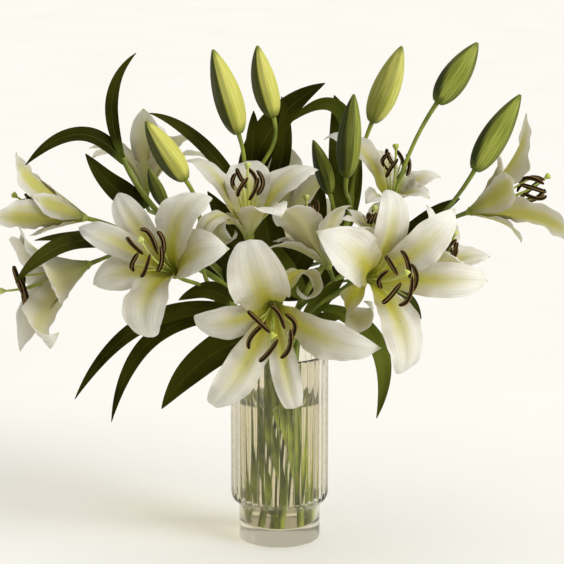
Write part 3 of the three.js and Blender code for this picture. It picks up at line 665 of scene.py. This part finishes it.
def stem_material(name, dark, light):
    """Green stem with long fibres and paler patches."""
    n = Nodes(name)
    uv, _, _, _ = n.tissue()
    fibres = n.noise(n.stretched(uv, 16.0, 3.0), 1.0)
    patch = n.noise(n.place(), 30.0)
    colour = n.mix(n.fade(patch, 0.32, 0.7), shade(dark), shade(light))
    colour = n.tint(colour, n.fade(fibres, 0.5, 0.75), 0.35, "9aa040")
    rough = n.scaled(fibres, 0.2, 0.38)
    return n.finish(n.skin(colour, rough, 0.35, n.bump(fibres, 0.3, 0.0006)))


def bud_material(name, pale, mid, deep, rib, side=0.95):
    """Bud tissue: pale flanks with fine green lines, a deep green rib, as broad as rib says, and a green
    base and tip. Its left side, turned away from the key lamp, gets painted shade in deep green, as strong
    as side says."""
    n = Nodes(name)
    uv, around, along, _ = n.tissue()
    fibres = n.noise(n.stretched(uv, 40.0, 1.4), 1.0)
    patch = n.noise(n.place(), 30.0)
    third = n.math("ABSOLUTE", n.math("SINE", n.times(around, RIB_WAVES)))
    colour = n.mix(n.fade(fibres, 0.42, 0.62), shade(pale), shade(mid))
    colour = n.tint(colour, n.fade(patch, 0.45, 0.8), 0.3, mid)
    colour = n.tint(colour, n.fade(third, 1.0 - rib, 0.999), 0.3 + rib, deep)
    # Painted shade: the side that faces away from the key lamp is darkened towards the deep green
    outward = n.add("TexCoord").outputs["Normal"]
    turned = n.add("VectorMath", {0: outward, 1: PAINTED_SHADE_SIDE}, operation="DOT_PRODUCT")
    painted_shade_mask = n.scaled(fibres, 0.16, turned.outputs["Value"])
    colour = n.tint(colour, n.fade(painted_shade_mask, 0.42, 0.66), side, deep)
    ends = n.math("MAXIMUM", n.fade(along, 0.14, 0.0), n.fade(along, 0.88, 1.0))
    colour = n.tint(colour, ends, 0.8, "5c6a1c")
    rough = n.scaled(fibres, 0.2, 0.42)
    return n.finish(n.skin(colour, rough, 0.22, n.bump(fibres, 0.45, 0.0008)))


def anther_material():
    """Dusty pollen sac: near-black brown, with a rust-brown ridge and grains."""
    n = Nodes("anther_pollen")
    _, around, _, _ = n.tissue()
    grains = n.noise(n.place(), 1400.0)
    fold = n.math("ABSOLUTE", n.math("SINE", n.times(around, SAC_WAVES)))
    colour = n.mix(n.fade(fold, 0.82, 0.98), shade("191504"), shade("85673f"))
    colour = n.tint(colour, n.fade(grains, 0.6, 0.76), 0.16, "6e5628")
    colour = n.tint(colour, n.fade(grains, 0.5, 0.3), 0.5, "110b03")
    return n.finish(n.skin(colour, 0.85, 0.08, n.bump(grains, 0.6, 0.0004)))


def clear_material(name, tint, ripple, rough):
    """Clear glass or water. Lamps shine through it, so that its shadow is light."""
    n = Nodes(name)
    waves = n.noise(n.place(), 38.0, 1.0)
    body = n.add("BsdfPrincipled", {
        "Base Color": shade(tint), "Roughness": rough, "Transmission Weight": 1.0, "IOR": REFRACTION,
        "Normal": n.bump(waves, ripple, 0.001)})
    clear = n.add("BsdfTransparent", {"Color": shade("faf8f0")})
    shadow = n.add("LightPath").outputs["Is Shadow Ray"]
    both = n.add("MixShader", {0: shadow, 1: body.outputs[0], 2: clear.outputs[0]})
    return n.finish(both.outputs[0])


def floor_material():
    """Warm white paper."""
    n = Nodes("studio_paper")
    grain = n.noise(n.place(), 3.0)
    colour = n.mix(n.fade(grain, 0.3, 0.7), shade("fbfaf5"), shade("faf8f3"))
    return n.finish(n.skin(colour, 0.9, 0.1))


PETAL_FRONT = petal_material("petal_front")
PETAL_BACK = petal_material("petal_back", 0.5)
GREEN_BACK = petal_material("petal_green_back", 0.88)
LEAF_FRONT = leaf_material("leaf_front", "232403", "43440d")
LEAF_BACK = leaf_material("leaf_back", "363d0e", "525c1b")
# A lighter copy of the leaf front, as painted light
PAINTED_LIGHT_LEAF = leaf_material("leaf_painted_light", "434b10", "69732a")
STEM = stem_material("stem_skin", "55641a", "929f38")
NECK = stem_material("neck_skin", "7b8730", "a5ab50")
FILAMENT = stem_material("filament_skin", "adb84a", "cbd080")
ANTHER = anther_material()
PALE_BUD = bud_material("pale_bud", "ccc86c", "afb046", "2f3806", 0.06)
LINED_BUD = bud_material("lined_bud", "ccc970", "9da03c", "4c5812", 0.12, 0.4)
GREEN_BUD = bud_material("green_bud", "a0a545", "5e6c1b", "2a3306", 0.3)
BUD_SKINS = {**dict.fromkeys(GREEN_AND_SHADED_BUDS, GREEN_BUD), **dict.fromkeys(LINED_BUDS, LINED_BUD)}
GLASS = clear_material("vase_clear", "efeada", 0.03, 0.12)
WATER = clear_material("water_clear", "f7f6e8", 0.03, 0.0)


def put(piece, node):
    """Ties a piece to the root, and hides the part of the node that it replaces."""
    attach(piece, "root")
    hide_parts(node)


# Blooms
def tepals_of(bloom):
    """The bloom's six tepals, inner and outer in turn, with the usual values where none are given."""
    given = bloom.get("tepals") or [dict(turn=bloom["turn"] + 60 * k) for k in range(6)]
    usual = {**USUAL_TEPAL, "open": bloom["open"], "curl": bloom["curl"]}
    return [{**usual, **tepal, "inner": k % 2 == 0} for k, tepal in enumerate(given)]


def tepal_spine(bloom, tepal):
    """The tepal's middle line, and at each of its points the directions across it and out of its face."""
    out, right, up = facing(*bloom["face"])
    radial = radial_at(right, up, tepal["turn"])
    side = np.cross(out, radial)
    lean, above = (INNER_LEAN, INNER_START) if tepal["inner"] else (OUTER_LEAN, OUTER_START)
    lean = math.radians(lean)
    ahead = radial * math.sin(lean) + out * math.cos(lean)
    face = out * math.sin(lean) - radial * math.cos(lean)
    point = np.asarray(bloom["at"], float) + radial * TEPAL_BASE + out * above
    count = (TEPAL_ROWS - 1) * STEPS_A_ROW
    step = bloom["long"] * tepal["long"] / count
    s = shares(count + 1)
    bend = np.diff(np.radians(tepal["open"] * s ** tepal["ease"] + tepal["curl"] * s ** tepal["power"]))
    part = np.clip((s - 0.1) / 0.4, 0, 1)
    roll = np.diff(np.radians(tepal["twist"] * part ** 2 * (3 - 2 * part)))
    rows = [(point, side, face)]
    for k in range(count):
        point = point + ahead * step
        ahead, face = swing(ahead, face, bend[k])
        face, side = swing(face, side, roll[k])
        if k % STEPS_A_ROW == STEPS_A_ROW - 1:
            rows.append((point, side, face))
    s = s[::STEPS_A_ROW]
    middle, over, face = (np.array(column) for column in zip(*rows))
    return s, middle + over * (tepal["sweep"] * bloom["long"] * s ** 2)[:, None], over, face


def ruffle(rise, s, v, height):
    """Adds waves that grow towards the edges, each edge with a beat and a phase of its own."""
    for sign in (-1, 1):
        phase, beat = CHANCE.uniform(0, FULL_TURN), CHANCE.uniform(2.2, 3.4)
        wave = np.sin(2 * math.pi * beat * s + phase) + 0.5 * np.sin(4.6 * math.pi * beat * s + 2 * phase)
        rise += np.outer(height * wave * np.sin(math.pi * s) ** 0.8, np.clip(v * sign, 0, 1) ** 3)


def groove_and_fold(rise, s, v, width):
    """Adds the groove over the midrib, the ridges beside it, and a few long folds."""
    groove = -GROOVE_DEPTH * hill(v, MIDRIB_WIDTH) + RIDGE_HEIGHT * hill(np.abs(v) - 0.3, 0.13)
    rise += np.outer((1 - s) ** 0.5 * np.minimum(width / 8, 1), groove)
    folds = np.sin(CHANCE.uniform(5.5, 7.5) * v + CHANCE.uniform(0, FULL_TURN)) * (1 - v ** 2)
    rise += np.outer(FOLD_HEIGHT * np.minimum(width / 12, 1) * np.sin(math.pi * s) ** 0.6, folds)


def add_tepal(body, bloom, tepal):
    """A tepal, cupped around the bloom's axis near its base, with a small sweep and twist of its own."""
    s, middle, over, face = tepal_spine(bloom, tepal)
    inner = tepal["inner"]
    size = bloom["long"] / BLOOM_LENGTH
    half = (INNER_HALF_WIDTH if inner else OUTER_HALF_WIDTH) * size * tepal["wide"]
    outline = 6.2 * s ** 1.6 * (1 - s) ** 1.1 if inner else 5.6 * s ** 1.5 * (1 - s) ** 1.1
    width = np.maximum(half * (outline + 0.09 * (1 - s) ** 2), LEAST_TEPAL)
    sweep = CHANCE.uniform(-0.02, 0.02) * bloom["long"]
    twist = np.radians(CHANCE.uniform(-10, 10)) * s ** 1.5
    middle = middle + over * (sweep * s ** 2)[:, None]
    face, over = swing(face, over, twist[:, None])
    out = facing(*bloom["face"])[0]
    away = middle - np.asarray(bloom["at"], float)
    from_axis = np.linalg.norm(away - np.outer(away @ out, out), axis=1)
    v = np.sin(np.linspace(-1, 1, TEPAL_COLUMNS) * math.pi / 2)
    cup = np.minimum(0.6, width / (2 * from_axis)) - 0.18 * s
    rise = np.outer(width * cup, v ** 2)
    ruffle(rise, s, v, (INNER_RUFFLE if inner else OUTER_RUFFLE) * size)
    groove_and_fold(rise, s, v, width)
    thick = TEPAL_EDGE + np.outer(1 - 0.6 * s, TEPAL_BLADE * (1 - v ** 2))
    body.blade(middle, over, face, np.outer(width, v), rise, thick, [0, 1])


def add_petals(bloom):
    """The receptacle and the six tepals that stand on it."""
    body = Body()
    out = facing(*bloom["face"])[0]
    s = shares(7)
    path = np.asarray(bloom["at"], float) + np.outer(s * RECEPTACLE_LENGTH, out)
    body.tube(path, NECK_RADIUS + RECEPTACLE_WIDENING * s ** 1.4, sides=24, slot=2, sharp=True)
    for tepal in tepals_of(bloom):
        add_tepal(body, bloom, tepal)
    back = GREEN_BACK if bloom["name"] in GREEN_BACKS else PETAL_BACK
    name = bloom["name"]
    put(body.make(f"petals_{name}", [PETAL_FRONT, back, NECK]), f"bloom_{name}")


# Stamens and pistils
def add_pistil(body, at, out, up, size):
    """The ovary, the style, which bows upwards, and the three-lobed stigma."""
    ovary = [at + out * (STAMEN_ROOT + d) for d in np.linspace(0, OVARY_LENGTH, len(OVARY_RADII))]
    body.tube(ovary, OVARY_RADII, sides=18, slot=0, sharp=True)
    length = PISTIL_LENGTH * size
    control = [at + out * FILAMENT_ROOT, at + out * length * 0.6 - up * 6, at + out * length + up * 6]
    style = bezier(control, shares(18))
    body.tube(style, np.linspace(1.3, 1.15, 18), sides=12, slot=0)
    ahead = tangents(style)[-1]
    path = [style[-1] + ahead * past for past, _ in STIGMA]
    lobes = 1 + 0.22 * np.cos(3 * turns(36))
    body.tube(path, [radius for _, radius in STIGMA], sides=36, slot=0, shape=lobes)


def add_anther(body, middle, out, radial, lie, size):
    """A bowed anther of two grooved sacs, held at its middle."""
    along = unit(np.cross(out, radial) * 0.6 + lie + out * 0.2)
    reach = ANTHER_LENGTH / 2 * size * CHANCE.uniform(0.9, 1.1)
    bow = CHANCE.uniform(0.25, 0.6)
    t = np.linspace(-1, 1, 17)
    line = middle + np.outer(reach * t, along) - np.outer(reach * bow * t ** 2, radial) + out * 0.8
    radii = ANTHER_RADIUS * size ** 0.5 * np.clip(1 - t ** 6, 0.12, 1) ** 0.5
    turn = turns(20)
    sacs = 1 - 0.22 * np.abs(np.cos(turn)) ** 8 - 0.1 * np.abs(np.sin(turn)) ** 6
    body.tube(line, radii, sides=20, slot=1, across=out, shape=sacs)


def add_stamens(bloom):
    """The pistil and the six stamens around it."""
    body = Body()
    out, right, up = facing(*bloom["face"])
    at = np.asarray(bloom["at"], float)
    size = bloom["long"] / BLOOM_LENGTH
    spread = bloom["open"] / WIDE_OPEN * FILAMENT_SPREAD * size
    lie = np.array(bloom.get("lie", ANTHER_LIE))
    add_pistil(body, at, out, up, size)
    first = tepals_of(bloom)[0]["turn"] + 30
    for k in range(6):
        radial = radial_at(right, up, 60 * k + first)
        length = FILAMENT_LENGTH * size * CHANCE.uniform(0.95, 1.04)
        begin = at + out * FILAMENT_ROOT + radial * 1.5
        bend = at + out * length * 0.65 + radial * spread * 0.35
        end = at + out * length + radial * spread
        filament = bezier([begin, bend, end], shares(16))
        body.tube(filament, np.linspace(1.0, 0.55, 16), sides=8, slot=0)
        add_anther(body, end, out, radial, lie, size)
    name = bloom["name"]
    put(body.make(f"anthers_{name}", [FILAMENT, ANTHER]), f"stamens_{name}")


# Buds
def add_bud(bud):
    """A closed bud on a slightly bent axis, with three ribs and the seams between them."""
    body = Body()
    s = shares(36)
    at, tip = np.asarray(bud["at"], float), np.asarray(bud["tip"], float)
    bend = np.array([CHANCE.uniform(-1, 1), CHANCE.uniform(-1, 1), 0]) * 2
    line = at + np.outer(s, tip - at) + np.outer(np.sin(math.pi * s), bend)
    turn = turns(72)
    third = np.sin(1.5 * turn)
    ribs = 1 + 0.05 * np.cos(3 * turn) - 0.03 * hill(np.abs(third) - 1, 0.05) - 0.015 * hill(third, 0.16)
    radii = bud["radius"] * 2.42 * (s + 0.03) ** 0.55 * (1.02 - s) ** 0.85
    body.tube(line, radii, sides=72, slot=0, shape=ribs)
    name = bud["name"]
    put(body.make(f"closed_{name}", [BUD_SKINS.get(name, PALE_BUD)]), name)


# Stems
def stem_point(index, level):
    """The point at a level on the straight part of a stem."""
    angle = math.radians(FIRST_STEM_ANGLE + 360 * index / len(STEMS))
    past = (level - WAIST_LEVEL) * STEM_LEAN
    return np.array([WAIST_RADIUS * math.cos(angle) - past * math.sin(angle),
                     WAIST_RADIUS * math.sin(angle) + past * math.cos(angle), level])


def heads_of(stem):
    """Each bloom and bud on a stem: where its stalk leaves it, its base, and the way that it points."""
    heads = [(head, facing(*head["face"])[0]) for head in BLOOMS]
    heads += [(head, unit(np.subtract(head["tip"], head["at"]))) for head in BUDS]
    return [(head["start"], head["at"], way) for head, way in heads if head["stem"] == stem["name"]]


def add_stalk(body, free, start, at, arriving):
    """A stalk from a share of the free part of the stem on. It is wider at both ends."""
    end = np.asarray(at, float) - arriving * GAP
    begin = bezier(free, start)[0]
    nearby = bezier(free, [max(start - 0.01, 0), min(start + 0.01, 1)])
    parting = unit(unit(end - begin) + unit(nearby[1] - nearby[0]))
    curve = bezier(route(begin, parting, end - arriving * 4, arriving), shares(26))
    line = np.concatenate([curve, [end - arriving * 2, end]])
    radii = np.full(len(line), float(STALK_RADIUS))
    radii[:6] = np.linspace(NECK_RADIUS, STALK_RADIUS, 6)
    radii[-6:] = np.linspace(STALK_RADIUS, NECK_RADIUS, 6)
    body.tube(line, radii, sides=16, slot=0, sharp=True)


def add_leaf(body, begin, leaf):
    """A leaf that is folded along its midrib, with a slow wave in each edge."""
    s = shares(LEAF_ROWS)
    line = bezier([begin, leaf["bend"], leaf["tip"]], s)
    along = tangents(line)
    side = np.cross(np.asarray(leaf.get("face", LEAF_FACE), float), along)
    side /= np.linalg.norm(side, axis=1)[:, None]
    width = np.maximum(leaf["half"] * (2.6 * s ** 0.6 * (1 - s) ** 0.8 + 0.15 * (1 - s)), LEAST_LEAF)
    v = np.linspace(-1, 1, LEAF_COLUMNS)
    rise = np.outer(width * LEAF_FOLD, np.sqrt(v ** 2 + 0.01) - 0.1)
    for sign in (-1, 1):
        wave = np.sin(2 * math.pi * CHANCE.uniform(1.2, 2.2) * s + CHANCE.uniform(0, FULL_TURN))
        rise += np.outer(LEAF_WAVE * width * wave, np.clip(v * sign, 0, 1) ** 2)
    across = LEAF_BLADE * (1 - v ** 2) + LEAF_MIDRIB * hill(v, MIDRIB_WIDTH)
    thick = LEAF_EDGE + np.outer(1 - 0.5 * s, across)
    body.blade(line, side, np.cross(along, side), np.outer(width, v), rise, thick, [1, 2])


def add_stem(index, stem):
    """A stem, straight through the vase and then bent to its head, with its stalks and leaves."""
    body = Body()
    foot, mouth = stem_point(index, CUT_END_LEVEL), stem_point(index, VASE_HEIGHT)
    free = route(mouth, unit(mouth - foot), stem["head"], unit(stem["toward"]))
    straight = foot + np.outer(shares(STRAIGHT_STEPS + 1)[:-1], mouth - foot)
    path = np.concatenate([straight, bezier(free, shares(FREE_STEPS))])
    thinning = np.linspace(STEM_RADIUS, STEM_RADIUS - STEM_TAPER, FREE_STEPS)
    radii = np.concatenate([np.full(STRAIGHT_STEPS, STEM_RADIUS), thinning])
    body.tube(path, radii, sides=20, slot=0, sharp=True)
    for start, at, arriving in heads_of(stem):
        add_stalk(body, free, start, at, arriving)
    for leaf in stem["leaves"]:
        add_leaf(body, bezier(free, leaf["on"])[0], leaf)
    name = stem["name"]
    # Stems in the lit list get the lighter leaf copy: painted light
    upper = PAINTED_LIGHT_LEAF if name in LIT_LEAF_STEMS else LEAF_FRONT
    put(body.make(f"leafy_stem_{name}", [STEM, upper, LEAF_BACK]), f"stem_{name}")


# Vase and water. A profile is a list of radii and heights, and a wall is an upright part of one.
def plain(r, z, angles):
    return np.full(len(angles), float(r))


def ribbed(r, z, angles):
    """Convex ribs outside the body. They grow out of the shoulder, and end just under the rim."""
    if r < GROOVE_RADIUS - 1 or z < RIB_BOTTOM:
        return plain(r, z, angles)
    part = (angles / (2 * math.pi) * RIBS) % 1
    depth = (RIB_RADIUS - GROOVE_RADIUS) * (1 - (2 * part - 1) ** 2)
    ease = min(max((z - RIB_BOTTOM) / RIB_RISE, 0), 1) * min(max((VASE_HEIGHT - z) / RIB_END, 0), 1) ** 0.5
    return r + depth * ease


def wall(radius, *levels):
    return [(radius, level) for level in levels]


def add_vase():
    """Up the outside, over the rim, and down the bore to the middle of the floor."""
    body = Body()
    foot = [(0, 0), (30, 0), (37, 0), (39.2, 0.5), (40.5, 1.6)] + wall(FOOT_RADIUS, 3.5, 12, 24, 33.5)
    shoulder = [(41.4, 35.5), (42.6, 37.2), (45, 39.8), (46.8, 41.8), (47.7, 43.4)]
    outside = wall(GROOVE_RADIUS, 45.5, 49, *WALL_LEVELS, 191.5, 193)
    rim = [(47.6, 193.7), (46.9, VASE_HEIGHT), (45.6, VASE_HEIGHT), (45, 193.7)]
    inside = wall(BODY_BORE, 193, *reversed(WALL_LEVELS), 50)
    waist = [(44.2, 47.2), (43, 45), (38.5, 40.6), (37, 38.8)]
    well = wall(FOOT_BORE, 37, 30, 22) + [(36.1, 19.4), (34.8, 17.7)]
    floor = [(32.5, FLOOR), (20, FLOOR), (0, FLOOR)]
    profile = foot + shoulder + outside + rim + inside + waist + well + floor
    body.turned(profile, ribbed, segments=RIBS * 8, slot=0)
    put(body.make("glass_vase", [GLASS]), "vase")


def add_water():
    """From the middle of the floor up along the glass, just clear of it, and over the surface, which climbs
    a little at the glass."""
    body = Body()
    bottom, well, side = FLOOR + GAP, FOOT_BORE - GAP, BODY_BORE - GAP
    low = [(0, bottom), (20, bottom), (32.3, bottom), (34.6, 18), (35.8, 19.6)] + wall(well, 22, 30, 37)
    waist = [(36.7, 39.1), (38.2, 41), (42.7, 45.3), (43.9, 47.5)]
    climb = [(44.2, 146.9), (43.6, 146.4), (42.6, 146.05)]
    surface = [(40, WATER_LEVEL), (20, WATER_LEVEL), (0, WATER_LEVEL)]
    profile = low + waist + wall(side, 50.2, 90, 120, 145) + climb + surface
    body.turned(profile, plain, segments=128, slot=0)
    put(body.make("vase_water", [WATER]), "water")


# Studio
def add_floor():
    bpy.ops.mesh.primitive_circle_add(vertices=128, radius=STUDIO_RADIUS, fill_type="NGON",
                                      location=(0, 0, STUDIO_FLOOR))
    floor = bpy.context.object
    floor.name = "studio_floor"
    floor.data.materials.append(floor_material())


def add_lamp(name, strength, width, direction):
    """A lamp that isn't itself seen through the glass, where its image would burn out the foot."""
    lamp = bpy.data.lights.new(name, "SUN")
    lamp.energy = strength
    lamp.angle = math.radians(width)
    made = new_object(name, lamp)
    made.visible_transmission = False
    made.rotation_euler = Vector(direction).to_track_quat("Z", "Y").to_euler()


def add_studio_light():
    """Pale light from all round, brighter where it is seen through glass."""
    sky = Nodes("studio", bpy.data.worlds)
    glassy = sky.add("LightPath").outputs["Is Transmission Ray"]
    strength = sky.scaled(glassy, STUDIO_THROUGH_GLASS, STUDIO_STRENGTH)
    light = sky.add("Background", {"Color": STUDIO_COLOUR, "Strength": strength})
    bpy.context.scene.world = sky.finish(light.outputs[0], "OutputWorld")


def add_camera():
    data = bpy.data.cameras.new("camera")
    data.lens = FOCAL_PIXELS / FRAME_PIXELS * SENSOR_WIDTH
    data.sensor_width = SENSOR_WIDTH
    data.clip_end = FARTHEST_SEEN
    camera = new_object("camera", data)
    aim = Vector(CAMERA_AIM)
    down = math.radians(LOOKING_DOWN)
    camera.location = aim + Vector((0, -math.cos(down), math.sin(down))) * CAMERA_DISTANCE
    camera.rotation_euler = (aim - camera.location).to_track_quat("-Z", "Y").to_euler()
    bpy.context.scene.camera = camera
    bpy.context.scene.view_settings.view_transform = "Standard"


# The order of the pieces matters, because each takes its chances from the same source.
for bloom in BLOOMS:
    add_petals(bloom)
    add_stamens(bloom)
for bud in BUDS:
    add_bud(bud)
for index, stem in enumerate(STEMS):
    add_stem(index, stem)
add_vase()
add_water()
add_floor()
for lamp in LAMPS:
    add_lamp(**lamp)
add_studio_light()
add_camera()
